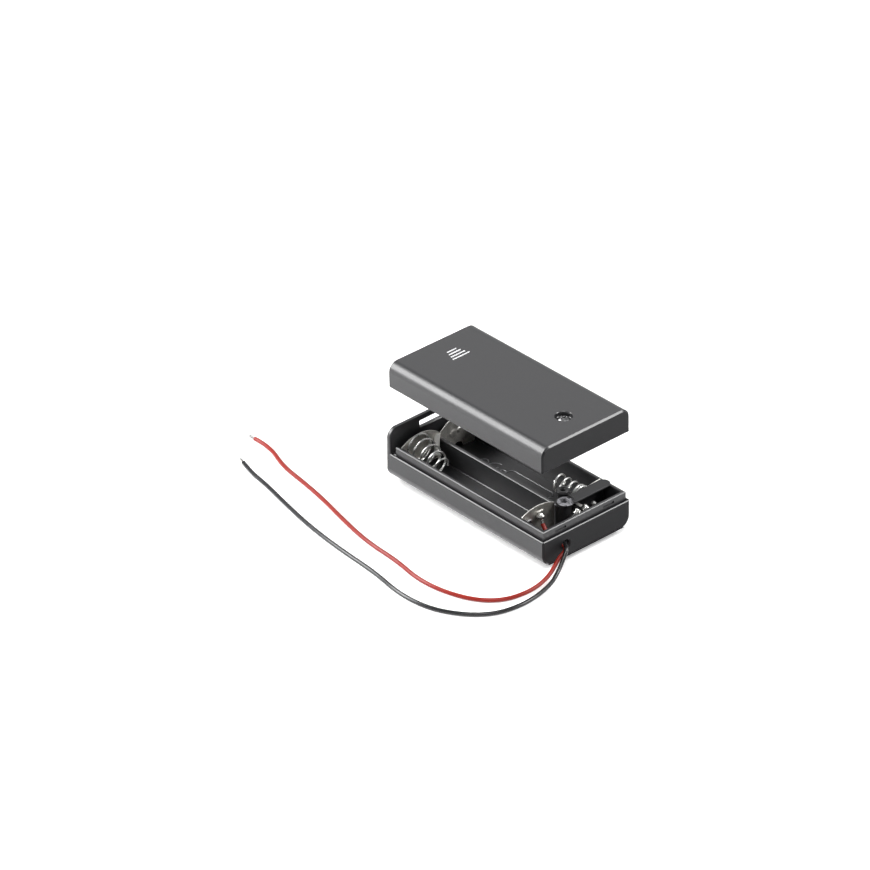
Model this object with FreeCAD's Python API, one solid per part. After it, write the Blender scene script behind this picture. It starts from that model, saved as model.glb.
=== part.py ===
import FreeCAD, Part
import math
import os

from FreeCAD import Vector

# Two-cell battery box with a lift-off cover, an underside slide switch and two free leads.
# All sizes are millimetres. X runs along the box, +X at the lead end. Z is up, and z = 0 is the
# surface that the slider's tip and the leads rest on. Heights named UP_ count from the underside.

# Moulded box
BOX_LENGTH = 68.4
BOX_WIDTH = 34.5
BOX_HEIGHT = 17.1
UP_LEDGE = 8.85
UP_LIP = 11.55
FLOOR = 1.35
LIP_INSET = 0.92
LIP_WALL = 1.1
LIP_NOTCH = 1.5
REAR_WALL = 1.4
BOTTOM_RADIUS = 2.65
TOP_RADIUS = 3.1
GROOVE_WIDTH = 0.5
GROOVE_DEPTH = 0.8
CENTRE_RIB = 1.2
UP_RIB = 8.8
BEVEL_RUN = 1.0
BEVEL_RISE = 0.3

# Cells that the bays are cut for
CELL_DIAMETER = 14.5

# Slit in the rear wall, and the snap tab of the cover that clicks into it
SLIT_WIDTH = 10.5
SLIT_HEIGHT = 2.25
UP_SLIT = 13.1
TAB_PLAY = 0.3
TAB_LEG = 1.0
TAB_NOSE = 0.9
TAB_NOSE_HEIGHT = 1.3
TAB_NOSE_FLAT = 0.5

# Snap recesses in the outer face of the front lip
RECESS_LENGTH = 4.3
RECESS_HEIGHT = 0.9
RECESS_DEPTH = 0.35
RECESS_OFFSET = 9.5
UP_RECESS = 9.7

# Cover
COVER_LIFT = 23.36
SKIRT_CLEARANCE = 0.12
SKIRT_GAP = 0.1
COVER_END_GAP = 0.35
CEILING = 1.25
GRIP_BARS = 4
GRIP_PITCH = 1.38
GRIP_WIDTH = 0.5
GRIP_RAISE = 0.25
GRIP_SHORTEST = 3.6
GRIP_GROWTH = 1.0
GRIP_FROM_REAR = 8.6
GRIP_CENTRE_Y = 1.0

# Screw, its boss in the tray and its well in the cover
SCREW_FROM_FRONT = 9.6
HEAD_DIAMETER = 4.0
HEAD_HEIGHT = 1.25
HEAD_EDGE = 0.45
SHANK_DIAMETER = 2.0
SCREW_LENGTH = 8.0
SCREW_POINT = 1.4
CROSS_WIDTH = 0.55
CROSS_SPAN = 2.3
CROSS_DEPTH = 0.75
WELL_DIAMETER = 5.2
WELL_DEPTH = 1.6
WELL_WALL = 0.8
SHANK_CLEARANCE = 0.08
PILOT_SPARE = 1.0
BOSS_DIAMETER = 4.1
BOSS_HEAD_DIAMETER = 4.9
BOSS_HEAD_HEIGHT = 1.0
UP_BOSS = 11.5
COVER_POST_DIAMETER = 4.4
POST_GAP = 0.15

# Contacts: nickel-plated sheet and spring wire
SHEET = 0.3
PLATE_SIDE_GAP = 0.1
LINK_FROM_REAR = 3.1
LINK_SIDE_GAP = 0.5
UP_LINK_SHOULDER = 10.3
UP_LINK_CROWN = 12.8
LINK_CROWN_Y = -7.0
UP_BRIDGE = 9.6
BRIDGE_HALF = 0.9
UP_FAR_CORNER = 11.8
FAR_CORNER_RUN = 3.3
DIMPLE_RAISE = 0.35
DIMPLE_TAPER = 0.55
DIMPLE_RADIUS = 1.7
DIMPLE_Y = 6.05
UP_DIMPLE = 7.1
SMALL_DIMPLE_RADIUS = 1.0
SMALL_DIMPLE_Y = 8.4
UP_SMALL_DIMPLE = 7.6
FOOT_CUT_RADIUS = 2.0
EAR_WIDTH = 1.2
UP_EAR = 8.9
RIB_END_GAP = 0.8
POSITIVE_FROM_FRONT = 11.8
UP_POSITIVE_SHOULDER = 11.1
UP_POSITIVE_CROWN = 12.75
BUTTON_RADIUS = 3.2
BUTTON_RAISE = 0.7
BUTTON_TAPER = 0.7
TAG_WIDTH = 2.4
UP_TAG_FOOT = 7.6
TAG_BELOW_SHOULDER = 0.4
NEGATIVE_FROM_FRONT = 10.7
UP_NEGATIVE_TOP = 12.2
NEGATIVE_BOSS_GAP = 0.2
TAIL_WIDTH = 1.2
TAIL_BELOW_PIN = 0.3
WIRE = 0.6
SPRING_SEAT = 0.02
REAR_SPRING_LENGTH = 10.6
REAR_SPRING_BASE = 4.2
REAR_SPRING_TIP = 2.3
REAR_SPRING_TURNS = 5
REAR_SPRING_DROOP = 1.1
FRONT_SPRING_LENGTH = 9.0
FRONT_SPRING_BASE = 3.7
FRONT_SPRING_TIP = 3.0
FRONT_SPRING_TURNS = 4.5
FRONT_SPRING_DROOP = -0.3

# Partition that carries the front contacts, and the strip that holds them down
PARTITION = 1.0
PARTITION_BITE = 0.4
UP_NEAR_PARTITION = 10.0
NEAR_PARTITION_WIDTH = 3.2
STRIP_WIDTH = 4.1
STRIP_THICKNESS = 0.6
STRIP_NEAR_Y = 1.1
STRIP_BOSS_GAP = 0.15
STRIP_PLATE_GAP = 0.1

# Slide switch
SWITCH_FROM_FRONT = 5.2
SWITCH_Y = 4.2
SLOT_LENGTH = 8.0
SLOT_WIDTH = 3.8
HOUSING_END_MARGIN = 0.7
HOUSING_SIDE_MARGIN = 0.35
HOUSING_HEIGHT = 4.3
HOUSING_WALL = 0.5
SLIDER_PROUD = 1.6
KNOB_LENGTH = 2.45
KNOB_SIDE_GAP = 0.35
SWITCH_TRAVEL = 3.4
RUNNER_OVERLAP = 1.0
RUNNER_HEIGHT = 1.4
RUNNER_GAP = 0.12
KNOB_RIDGES = 4
RIDGE_DEPTH = 0.4
BOARD = 0.8
PIN_END_GAP = 0.35
PIN_WIDTH = 1.1
PIN_THICKNESS = 0.35
PIN_RISE = 3.9
PIN_BELOW_BOARD = 0.25
WIPER_SHEET = 0.2
WIPER_WIDTH = 1.2
WIPER_END_GAP = 0.15
WIPER_GAP = 0.15

# Leads
LEAD_DIAMETER = 1.3
TIP_DIAMETER = 0.8
TIP_LENGTH = 2.5
EXIT_HOLE_DIAMETER = 3.3
EXIT_Y = -8.2
UP_EXIT = 4.5
LEAD_SPACING = 1.4
LEAD_SHIFT = 0.55
LEAD_SLANT = 1.0
SOLDER_RADIUS = 1.05
SOLDER_FLAT = 0.5

# Round wires are drawn with flats, so that the model stays light
LEAD_SIDES = 12
WIRE_SIDES = 8
COIL_STEPS = 12

# Places that follow from the sizes above
half_length = BOX_LENGTH / 2
half_width = BOX_WIDTH / 2
under = SLIDER_PROUD
rear_face = -half_length + REAR_WALL
lip_half = half_width - LIP_INSET
bay_half = lip_half - LIP_WALL
lip_front = half_length - LIP_INSET
bay_front = lip_front - LIP_WALL
rib_half = CENTRE_RIB / 2
floor_z = under + FLOOR
lip_z = under + UP_LIP
ledge_z = under + UP_LEDGE
top_z = under + BOX_HEIGHT
cell_y = (bay_half + rib_half) / 2
cell_z = floor_z + CELL_DIAMETER / 2
screw_x = half_length - SCREW_FROM_FRONT
boss_top = under + UP_BOSS
well_floor = top_z - WELL_DEPTH
shank_bore = SHANK_DIAMETER / 2 + SHANK_CLEARANCE
switch_x = half_length - SWITCH_FROM_FRONT
housing_half_y = SLOT_LENGTH / 2 + HOUSING_END_MARGIN
housing_half_x = SLOT_WIDTH / 2 + HOUSING_SIDE_MARGIN
housing_top = floor_z + HOUSING_HEIGHT
knob_half_x = SLOT_WIDTH / 2 - KNOB_SIDE_GAP
runner_half_y = KNOB_LENGTH / 2 + RUNNER_OVERLAP
pin_pitch = housing_half_y - HOUSING_WALL - PIN_END_GAP - PIN_WIDTH / 2
pin_low = housing_top - BOARD - PIN_BELOW_BOARD
pin_top = housing_top + PIN_RISE
runner_low = floor_z + RUNNER_GAP
runner_top = runner_low + RUNNER_HEIGHT
slider_y = SWITCH_Y + SWITCH_TRAVEL / 2
link_x = -half_length + LINK_FROM_REAR
rib_start = link_x + SHEET + RIB_END_GAP
positive_x = half_length - POSITIVE_FROM_FRONT
negative_x = half_length - NEGATIVE_FROM_FRONT
tail_top = pin_top - TAIL_BELOW_PIN
exit_z = under + UP_EXIT
lead_radius = LEAD_DIAMETER / 2
skirt_wall = LIP_INSET - SKIRT_CLEARANCE

X_AXIS = Vector(1, 0, 0)
Z_AXIS = Vector(0, 0, 1)


def block(x0, x1, y0, y1, z0, z1):
    return Part.makeBox(x1 - x0, y1 - y0, z1 - z0, Vector(x0, y0, z0))


def upright(radius, x, y, z0, z1):
    return Part.makeCylinder(radius, z1 - z0, Vector(x, y, z0), Z_AXIS)


def along_x(radius, x0, x1, y, z):
    return Part.makeCylinder(radius, x1 - x0, Vector(x0, y, z), X_AXIS)


def box_section(x, half, z0, z1, low_radius, high_radius):
    """Face across the box at x, with its lower and upper corners rounded where a radius is given."""
    edges = []
    pen = [Vector(x, -half, z0 + low_radius)]

    def line(end):
        edges.append(Part.makeLine(pen[-1], end))
        pen.append(end)

    def turn(radius, centre_y, centre_z, first, last):
        if radius:
            mid = math.radians((first + last) / 2)
            end = math.radians(last)
            through = Vector(x, centre_y + radius * math.cos(mid), centre_z + radius * math.sin(mid))
            stop = Vector(x, centre_y + radius * math.cos(end), centre_z + radius * math.sin(end))
            edges.append(Part.Arc(pen[-1], through, stop).toShape())
            pen.append(stop)

    turn(low_radius, -half + low_radius, z0 + low_radius, 180, 270)
    line(Vector(x, half - low_radius, z0))
    turn(low_radius, half - low_radius, z0 + low_radius, 270, 360)
    line(Vector(x, half, z1 - high_radius))
    turn(high_radius, half - high_radius, z1 - high_radius, 0, 90)
    line(Vector(x, -half + high_radius, z1))
    turn(high_radius, -half + high_radius, z1 - high_radius, 90, 180)
    line(pen[0])
    return Part.Face(Part.Wire(edges))


def box_bar(x0, x1, half, z0, z1, low_radius=0.0, high_radius=0.0):
    return box_section(x0, half, z0, z1, low_radius, high_radius).extrude(Vector(x1 - x0, 0, 0))


def sheet_part(x, points, crown=None):
    """Flat sheet across the box. The edge from points[0] to points[1] is an arc if a crown is given."""
    corners = [Vector(x, y, z) for y, z in points]
    edges = []
    for index, corner in enumerate(corners):
        following = corners[(index + 1) % len(corners)]
        if crown and index == 0:
            edges.append(Part.Arc(corner, Vector(x, *crown), following).toShape())
        else:
            edges.append(Part.makeLine(corner, following))
    return Part.Face(Part.Wire(edges)).extrude(Vector(SHEET, 0, 0))


def many_sided(centre, heading, radius, sides):
    """Corners of a section across a wire, with as many sides as given and the round section's area."""
    heading = Vector(heading).normalize()
    first = heading.cross(Z_AXIS).normalize()
    second = heading.cross(first)
    reach = radius * math.sqrt(2 * math.pi / (sides * math.sin(2 * math.pi / sides)))
    corners = []
    for index in range(sides):
        angle = 2 * math.pi * (index + 0.5) / sides
        corners.append(centre + (first * math.cos(angle) + second * math.sin(angle)) * reach)
    return corners


def closed_face(corners):
    return Part.Face(Part.makePolygon(corners + corners[:1]))


def lead_tube(points, label=None):
    """Lead along straight runs joined by tangent arcs, each as large as its two runs allow."""
    path = [Vector(*point) for point in points]
    here = path[0]
    section = closed_face(many_sided(here, path[1] - here, lead_radius, LEAD_SIDES))
    area = section.Area
    length = 0.0
    pieces = []
    for before, corner, after in zip(path, path[1:], path[2:]):
        arriving = corner - before
        leaving = after - corner
        turn = arriving.getAngle(leaving)
        trim = 0.45 * min(arriving.Length, leaving.Length)
        bend = trim / math.tan(turn / 2)
        into = corner - Vector(arriving).normalize() * trim
        inward = (Vector(leaving).normalize() - Vector(arriving).normalize()).normalize()
        centre = corner + inward * (bend / math.cos(turn / 2))
        axis = arriving.cross(leaving).normalize()
        pieces.append(section.extrude(into - here))
        section.translate(into - here)
        pieces.append(section.revolve(centre, axis, math.degrees(turn)))
        section.rotate(centre, axis, math.degrees(turn))
        length += (into - here).Length + bend * turn
        here = corner + Vector(leaving).normalize() * trim
        if label:
            print(label, "bend radius", round(bend, 2), "turn", round(math.degrees(turn), 1))
    pieces.append(section.extrude(path[-1] - here))
    length += (path[-1] - here).Length
    tube = pieces[0].fuse(pieces[1:]).removeSplitter()
    if label:
        print(label, "length", round(length, 1), "volume ratio", round(tube.Volume / (area * length), 4))
    return tube


def coil(x_base, x_tip, y, base_radius, tip_radius, turns, droop):
    """Spring wire about the X direction: a flat turn at the base, then an even rise to the tip."""
    points = []
    for step in range(int(turns * COIL_STEPS) + 1):
        turned = step / COIL_STEPS
        rise = max(0.0, turned - 1) / (turns - 1)
        radius = base_radius + (tip_radius - base_radius) * rise
        angle = 2 * math.pi * turned
        points.append(Vector(x_base + (x_tip - x_base) * rise, y + radius * math.sin(angle),
                             cell_z - droop * rise ** 2 + radius * math.cos(angle)))
    return mitred(points)


def mitred(points):
    """Wire along straight runs that meet in mitres, closed by a flat face at each end."""
    ring = many_sided(points[0], points[1] - points[0], WIRE / 2, WIRE_SIDES)
    faces = [closed_face(ring)]
    for index in range(1, len(points)):
        forward = Vector(points[index] - points[index - 1]).normalize()
        across = Vector(forward)
        if index < len(points) - 1:
            across += Vector(points[index + 1] - points[index]).normalize()
        ahead = [corner + forward * ((points[index] - corner).dot(across) / forward.dot(across))
                 for corner in ring]
        for side in range(WIRE_SIDES):
            after = (side + 1) % WIRE_SIDES
            faces.append(closed_face([ring[side], ring[after], ahead[after], ahead[side]]))
        ring = ahead
    faces.append(closed_face(ring))
    solid = Part.makeSolid(Part.makeShell(faces))
    if solid.Volume < 0:
        solid.reverse()
    return solid


def tray_walls():
    base = box_bar(-half_length, half_length, half_width, under, ledge_z, BOTTOM_RADIUS)
    end_wall = box_bar(-half_length, rear_face, half_width, under, top_z, BOTTOM_RADIUS, TOP_RADIUS)
    lip = block(rear_face + LIP_NOTCH, lip_front, -lip_half, lip_half, ledge_z, lip_z)
    solid = base.fuse([end_wall, lip])
    solid = solid.cut(block(rear_face, bay_front, -bay_half, bay_half, floor_z, lip_z))
    low = ledge_z - GROOVE_DEPTH
    outer = block(rear_face, lip_front + GROOVE_WIDTH, -lip_half - GROOVE_WIDTH,
                  lip_half + GROOVE_WIDTH, low, ledge_z)
    inner = block(rear_face, lip_front, -lip_half, lip_half, low, ledge_z)
    solid = solid.cut(outer.cut(inner))
    corner = Vector(half_length, -half_width, under)
    bevel = closed_face([corner, corner - Vector(BEVEL_RUN, 0, 0), corner + Vector(0, 0, BEVEL_RISE)])
    return solid.cut(bevel.extrude(Vector(0, BOX_WIDTH, 0)))


def tray_inside():
    """Centre rib, screw boss, the two partitions behind the front contacts, and the ear ledges."""
    behind_positive = positive_x + SHEET
    behind_negative = negative_x + SHEET
    near_top = under + UP_NEAR_PARTITION
    boss_half = BOSS_DIAMETER / 2
    wall = block(behind_negative, behind_negative + PARTITION, boss_half - PARTITION_BITE, bay_half,
                 floor_z, lip_z)
    notch = block(behind_negative, behind_negative + PARTITION, SWITCH_Y - TAIL_WIDTH,
                  SWITCH_Y + TAIL_WIDTH, tail_top - 2 * SHEET, lip_z)
    pieces = [
        block(rib_start, positive_x, -rib_half, rib_half, floor_z, under + UP_RIB),
        upright(boss_half, screw_x, 0, floor_z, boss_top),
        upright(BOSS_HEAD_DIAMETER / 2, screw_x, 0, boss_top - BOSS_HEAD_HEIGHT, boss_top),
        block(behind_positive, behind_positive + PARTITION, -bay_half, -bay_half + NEAR_PARTITION_WIDTH,
              floor_z, near_top),
        block(behind_positive, screw_x, -boss_half, 0, floor_z, near_top),
        wall.cut(notch),
    ]
    for side in (-1, 1):
        y0, y1 = sorted((side * bay_half, side * (bay_half - LINK_SIDE_GAP - EAR_WIDTH)))
        pieces.append(block(rear_face, link_x - SHEET, y0, y1, floor_z, under + UP_EAR))
    return pieces


def base_tray():
    solid = tray_walls().fuse(tray_inside())
    slit_low = under + UP_SLIT
    cuts = [
        block(-half_length, rear_face, -SLIT_WIDTH / 2, SLIT_WIDTH / 2, slit_low, slit_low + SLIT_HEIGHT),
        block(switch_x - SLOT_WIDTH / 2, switch_x + SLOT_WIDTH / 2, SWITCH_Y - SLOT_LENGTH / 2,
              SWITCH_Y + SLOT_LENGTH / 2, under, floor_z),
        along_x(EXIT_HOLE_DIAMETER / 2, bay_front, half_length, EXIT_Y, exit_z),
        upright(shank_bore, screw_x, 0, well_floor - SCREW_LENGTH - PILOT_SPARE, boss_top),
    ]
    recess_low = under + UP_RECESS
    for side in (-1, 1):
        centre = side * RECESS_OFFSET
        cuts.append(block(lip_front - RECESS_DEPTH, lip_front, centre - RECESS_LENGTH / 2,
                          centre + RECESS_LENGTH / 2, recess_low, recess_low + RECESS_HEIGHT))
    return solid.cut(cuts).removeSplitter()


def snap_tab(x_rear, ceiling_z):
    """Springy leg below the ceiling, with a nose that reaches into the slit."""
    half = SLIT_WIDTH / 2 - TAB_PLAY
    low = under + UP_SLIT + TAB_PLAY
    leg = block(x_rear, x_rear + TAB_LEG, -half, half, low, ceiling_z)
    outline = [Vector(x_rear, -half, low),
               Vector(x_rear - TAB_NOSE, -half, low + TAB_NOSE_HEIGHT - TAB_NOSE_FLAT),
               Vector(x_rear - TAB_NOSE, -half, low + TAB_NOSE_HEIGHT),
               Vector(x_rear, -half, low + TAB_NOSE_HEIGHT)]
    nose = closed_face(outline).extrude(Vector(0, 2 * half, 0))
    return leg.fuse(nose)


def grip_bars(ceiling_z):
    bars = []
    for index in range(GRIP_BARS):
        half = (GRIP_SHORTEST + GRIP_GROWTH * index) / 2
        x = -half_length + GRIP_FROM_REAR + GRIP_PITCH * index
        bars.append(block(x, x + GRIP_WIDTH, GRIP_CENTRE_Y - half, GRIP_CENTRE_Y + half,
                          ceiling_z, top_z + GRIP_RAISE))
    return bars


def cover():
    rear = rear_face + COVER_END_GAP
    bottom = ledge_z + SKIRT_GAP
    ceiling_z = top_z - CEILING
    shell = box_bar(rear, half_length, half_width, bottom, top_z, 0.0, TOP_RADIUS)
    hollow = box_bar(rear, half_length - skirt_wall, half_width - skirt_wall, bottom, ceiling_z,
                     0.0, TOP_RADIUS - skirt_wall)
    well = upright(WELL_DIAMETER / 2 + WELL_WALL, screw_x, 0, well_floor - CEILING, ceiling_z)
    post = upright(COVER_POST_DIAMETER / 2, screw_x, 0, boss_top + POST_GAP, ceiling_z)
    solid = shell.cut(hollow).fuse([well, post, snap_tab(rear, ceiling_z)] + grip_bars(ceiling_z))
    solid = solid.cut([upright(WELL_DIAMETER / 2, screw_x, 0, well_floor, top_z),
                       upright(shank_bore, screw_x, 0, boss_top, well_floor)])
    return raised(solid.removeSplitter())


def raised(shape):
    shape.translate(Vector(0, 0, COVER_LIFT))
    return shape


def cover_screw():
    """Pan head with a cross recess, and a shank with a tapered point, as one turned profile."""
    top_of_head = well_floor + HEAD_HEIGHT
    radius = HEAD_DIAMETER / 2
    shank = SHANK_DIAMETER / 2
    tip = well_floor - SCREW_LENGTH
    dome = HEAD_HEIGHT - HEAD_EDGE
    dome_radius = (radius ** 2 + dome ** 2) / (2 * dome)
    halfway = math.asin(radius / dome_radius) / 2
    corners = [(0, tip), (shank, tip + SCREW_POINT), (shank, well_floor), (radius, well_floor),
               (radius, well_floor + HEAD_EDGE)]
    path = [Vector(screw_x + r, 0, z) for r, z in corners]
    edges = [Part.makeLine(a, b) for a, b in zip(path, path[1:])]
    crown = Vector(screw_x + dome_radius * math.sin(halfway), 0,
                   top_of_head - dome_radius * (1 - math.cos(halfway)))
    top = Vector(screw_x, 0, top_of_head)
    edges.append(Part.Arc(path[-1], crown, top).toShape())
    edges.append(Part.makeLine(top, path[0]))
    solid = Part.Face(Part.Wire(edges)).revolve(Vector(screw_x, 0, 0), Z_AXIS, 360)
    for span_x, span_y in ((CROSS_SPAN, CROSS_WIDTH), (CROSS_WIDTH, CROSS_SPAN)):
        solid = solid.cut(block(screw_x - span_x / 2, screw_x + span_x / 2, -span_y / 2, span_y / 2,
                                top_of_head - CROSS_DEPTH, top_of_head))
    return raised(solid)


def rear_link_contact():
    """One folded sheet: arched plate for the near cell, bridge, cornered plate for the far cell."""
    low = floor_z
    outer = bay_half - LINK_SIDE_GAP
    shoulder = under + UP_LINK_SHOULDER
    bridge = under + UP_BRIDGE
    corner = under + UP_FAR_CORNER
    near = sheet_part(link_x, [(-outer, shoulder), (BRIDGE_HALF, bridge), (BRIDGE_HALF, low),
                               (-outer, low)], (LINK_CROWN_Y, under + UP_LINK_CROWN))
    far = sheet_part(link_x, [(BRIDGE_HALF, bridge), (BRIDGE_HALF + FAR_CORNER_RUN, corner),
                              (outer - FAR_CORNER_RUN, corner), (outer, bridge), (outer, low),
                              (BRIDGE_HALF, low)])
    front = link_x + SHEET
    fold = block(front, front + SHEET, -BRIDGE_HALF / 2, BRIDGE_HALF, low + SHEET, bridge - SHEET)
    solid = near.fuse([far, fold])
    for y, up, radius in ((DIMPLE_Y, UP_DIMPLE, DIMPLE_RADIUS),
                          (SMALL_DIMPLE_Y, UP_SMALL_DIMPLE, SMALL_DIMPLE_RADIUS)):
        solid = solid.fuse(Part.makeCone(radius, radius * DIMPLE_TAPER, DIMPLE_RAISE,
                                         Vector(front, y, under + up), X_AXIS))
    solid = solid.cut(along_x(FOOT_CUT_RADIUS, link_x, front, cell_y, low))
    for side in (-1, 1):
        y0, y1 = sorted((side * outer, side * (outer - EAR_WIDTH)))
        solid = solid.fuse(block(rear_face, link_x, y0, y1, under + UP_EAR, under + UP_EAR + SHEET))
    return solid.removeSplitter()


def rear_spring():
    base = link_x + SHEET + WIRE / 2 + SPRING_SEAT
    return coil(base, base + REAR_SPRING_LENGTH, -cell_y, REAR_SPRING_BASE,
                REAR_SPRING_TIP, REAR_SPRING_TURNS, REAR_SPRING_DROOP)


def front_spring():
    base = negative_x - WIRE / 2 - SPRING_SEAT
    return coil(base, base - FRONT_SPRING_LENGTH, cell_y, FRONT_SPRING_BASE,
                FRONT_SPRING_TIP, FRONT_SPRING_TURNS, FRONT_SPRING_DROOP)


def front_positive_contact():
    low = floor_z
    outer = -bay_half + PLATE_SIDE_GAP
    inner = -BOSS_DIAMETER / 2 - PLATE_SIDE_GAP
    shoulder = under + UP_POSITIVE_SHOULDER
    plate = sheet_part(positive_x, [(outer, shoulder), (inner, shoulder), (inner, low), (outer, low)],
                       ((outer + inner) / 2, under + UP_POSITIVE_CROWN))
    button = Part.makeCone(BUTTON_RADIUS, BUTTON_RADIUS * BUTTON_TAPER, BUTTON_RAISE,
                           Vector(positive_x, -cell_y, cell_z), Vector(-1, 0, 0))
    tag = block(positive_x + SHEET, positive_x + SHEET * 2, -cell_y - TAG_WIDTH / 2,
                -cell_y + TAG_WIDTH / 2, under + UP_TAG_FOOT, shoulder - TAG_BELOW_SHOULDER)
    return plate.fuse([button, tag]).removeSplitter()


def front_negative_contact():
    """Sheet that carries the front spring, with a tail folded forward to the middle switch pin."""
    top = under + UP_NEGATIVE_TOP
    start = BOSS_HEAD_DIAMETER / 2 + NEGATIVE_BOSS_GAP
    end = bay_half - PLATE_SIDE_GAP
    plate = sheet_part(negative_x, [(start, top), (end, top), (end, floor_z), (start, floor_z)])
    tail = block(negative_x, switch_x + PIN_THICKNESS, SWITCH_Y - TAIL_WIDTH / 2,
                 SWITCH_Y + TAIL_WIDTH / 2, tail_top - SHEET, tail_top)
    return plate.fuse(tail).cut(switch_pin(0)).removeSplitter()


def retainer_strip():
    """Flat strip with a round far end, notched round the boss, on the partition and the far lip."""
    x0 = negative_x + SHEET + STRIP_PLATE_GAP
    centre_x = x0 + STRIP_WIDTH / 2
    end_y = lip_half - STRIP_WIDTH / 2
    top = lip_z + STRIP_THICKNESS
    strip = block(x0, x0 + STRIP_WIDTH, STRIP_NEAR_Y, end_y, lip_z, top)
    strip = strip.fuse(upright(STRIP_WIDTH / 2, centre_x, end_y, lip_z, top))
    around_boss = upright(BOSS_HEAD_DIAMETER / 2 + STRIP_BOSS_GAP, screw_x, 0, lip_z, top)
    return strip.cut(around_boss).removeSplitter()


def around_switch(inset, low):
    """Block over the slot, up to the housing's top, with its four sides moved in by the inset."""
    return block(switch_x - housing_half_x + inset, switch_x + housing_half_x - inset,
                 SWITCH_Y - housing_half_y + inset, SWITCH_Y + housing_half_y - inset, low, housing_top)


def switch_housing():
    return around_switch(0, floor_z).cut(around_switch(HOUSING_WALL, floor_z))


def switch_board():
    board = around_switch(HOUSING_WALL, housing_top - BOARD)
    return board.cut([switch_pin(place) for place in (-1, 0, 1)])


def switch_pin(place):
    """Flat pin through the board: place is -1 at the OFF end, 0 in the middle, 1 at the ON end."""
    y = SWITCH_Y + place * pin_pitch
    return block(switch_x - PIN_THICKNESS / 2, switch_x + PIN_THICKNESS / 2, y - PIN_WIDTH / 2,
                 y + PIN_WIDTH / 2, pin_low, pin_top)


def switch_slider():
    """Runner inside the housing and a ridged knob that stands out through the slot."""
    half_x = housing_half_x - HOUSING_WALL - RUNNER_GAP
    knob_start = slider_y - KNOB_LENGTH / 2
    runner = block(switch_x - half_x, switch_x + half_x, slider_y - runner_half_y,
                   slider_y + runner_half_y, runner_low, runner_top)
    knob = block(switch_x - knob_half_x, switch_x + knob_half_x, knob_start,
                 knob_start + KNOB_LENGTH, 0, runner_top)
    solid = runner.fuse(knob)
    ridge = KNOB_LENGTH / (2 * KNOB_RIDGES - 1)
    for index in range(KNOB_RIDGES - 1):
        y = knob_start + ridge * (2 * index + 1)
        solid = solid.cut(block(switch_x - knob_half_x, switch_x + knob_half_x, y, y + ridge,
                                0, RIDGE_DEPTH))
    return solid.removeSplitter()


def switch_wiper():
    """Bent contact strip on the runner: two humps that bridge neighbouring pins."""
    high = pin_low - WIPER_GAP
    half = runner_half_y - WIPER_END_GAP
    under_side = [(-half, runner_top), (-half / 2, high - WIPER_SHEET), (0, runner_top + WIPER_SHEET),
                  (half / 2, high - WIPER_SHEET), (half, runner_top)]
    upper_side = [(y, z + WIPER_SHEET) for y, z in reversed(under_side)]
    start = switch_x - WIPER_WIDTH / 2
    corners = [Vector(start, slider_y + y, z) for y, z in under_side + upper_side]
    return closed_face(corners).extrude(Vector(WIPER_WIDTH, 0, 0))


# Each jacket runs from its solder joint through the exit hole, then lies free to its bare tip.
# The routes are chosen by hand. A free stretch that lies on the surface is one lead radius up.
red_exit = (half_length, EXIT_Y - LEAD_SHIFT, exit_z - LEAD_SPACING / 2)
black_exit = (half_length, EXIT_Y - LEAD_SHIFT, exit_z + LEAD_SPACING / 2)

slant_y = red_exit[1] + LEAD_SLANT
off_pin_y = SWITCH_Y - pin_pitch

red_inside = [(positive_x + 1.5, -cell_y - 0.7, cell_z + 0.7),
              (positive_x + 3.0, -cell_y - 1.3, cell_z - 1.2),
              (positive_x + 5.2, -cell_y - 1.5, exit_z + 0.9),
              (bay_front - 2.0, slant_y - 0.6, exit_z - 0.5),
              (bay_front - 0.1, slant_y, red_exit[2]), red_exit]
black_inside = [(switch_x, off_pin_y - 0.8, pin_top - 0.6),
                (switch_x, off_pin_y - 3.5, pin_top - 1.6),
                (switch_x + 0.8, slant_y + 2.3, exit_z + 1.7),
                (bay_front - 0.1, slant_y, black_exit[2]), black_exit]

lead_z = lead_radius
red_route = [red_exit, (35.2, -9.23, 5.4), (35.75, -10.4, 5.1), (35.8, -12.2, 4.35), (36.4, -14.4, 3.1),
             (37.4, -17.4, 1.65), (38.4, -21.6, 0.85), (39.0, -27.4, lead_z), (37.6, -35.2, lead_z),
             (32.3, -41.2, lead_z), (23.1, -45.0, lead_z), (12.2, -46.3, lead_z), (0.4, -44.2, lead_z),
             (-12.8, -43.8, lead_z), (-26.1, -41.2, lead_z), (-39.7, -37.9, lead_z),
             (-51.6, -35.9, lead_z), (-61.7, -34.6, lead_z), (-72.7, -30.3, lead_z),
             (-79.4, -30.6, lead_z)]
black_route = [black_exit, (35.2, -9.23, 6.8), (36.5, -10.2, 6.25), (37.3, -11.9, 4.9),
               (38.1, -13.9, 3.35), (39.3, -16.7, 1.95), (40.9, -20.6, 1.0), (42.2, -26.6, lead_z),
               (42.8, -33.8, lead_z), (41.0, -42.3, lead_z), (35.0, -49.2, lead_z),
               (25.8, -54.2, lead_z), (14.0, -55.3, lead_z), (1.1, -53.0, lead_z),
               (-13.5, -52.3, lead_z), (-28.3, -50.9, lead_z), (-42.5, -48.3, lead_z),
               (-58.0, -44.8, lead_z), (-65.5, -43.8, lead_z), (-71.3, -41.9, lead_z)]


def bare_tip(route):
    end = Vector(*route[-1])
    heading = (end - Vector(*route[-2])).normalize()
    return Part.makeCylinder(TIP_DIAMETER / 2, TIP_LENGTH, end, heading)


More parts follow.
